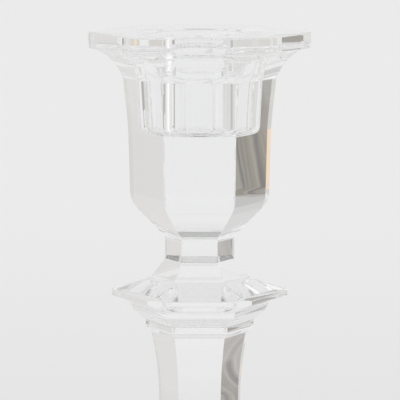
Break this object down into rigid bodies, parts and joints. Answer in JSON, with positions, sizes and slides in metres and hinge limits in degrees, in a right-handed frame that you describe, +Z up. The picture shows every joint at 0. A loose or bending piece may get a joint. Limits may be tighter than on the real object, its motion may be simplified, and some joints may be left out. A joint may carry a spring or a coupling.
{
  "type": "hexagonal crystal candlestick",
  "caption": "Clear hexagonal panel-cut crystal candlestick with a flanged cup for a taper candle, its six rim corners rounded, a waisted neck, a hexagonal knop, a tapering stem and a wide foot.",
  "frame": {"origin": "middle of the footprint, on the surface that the foot stands on", "axes": "+Z up along the candle's axis; -Y is the way a flat panel faces; the hexagon's corners lie on the X axis"},
  "size_m": [0.1, 0.09, 0.22],
  "materials": {
    "crystal": "clear crystal, ground and polished",
    "adhesive": "clear cured adhesive"
  },
  "bodies": {
    "root": {"candle_cup": "crystal", "cup_bond": "adhesive", "neck": "crystal", "neck_bond": "adhesive", "knop": "crystal", "knop_bond": "adhesive", "stem": "crystal", "stem_bond": "adhesive", "collar": "crystal", "collar_bond": "adhesive", "foot": "crystal"}
  },
  "joints": []
}
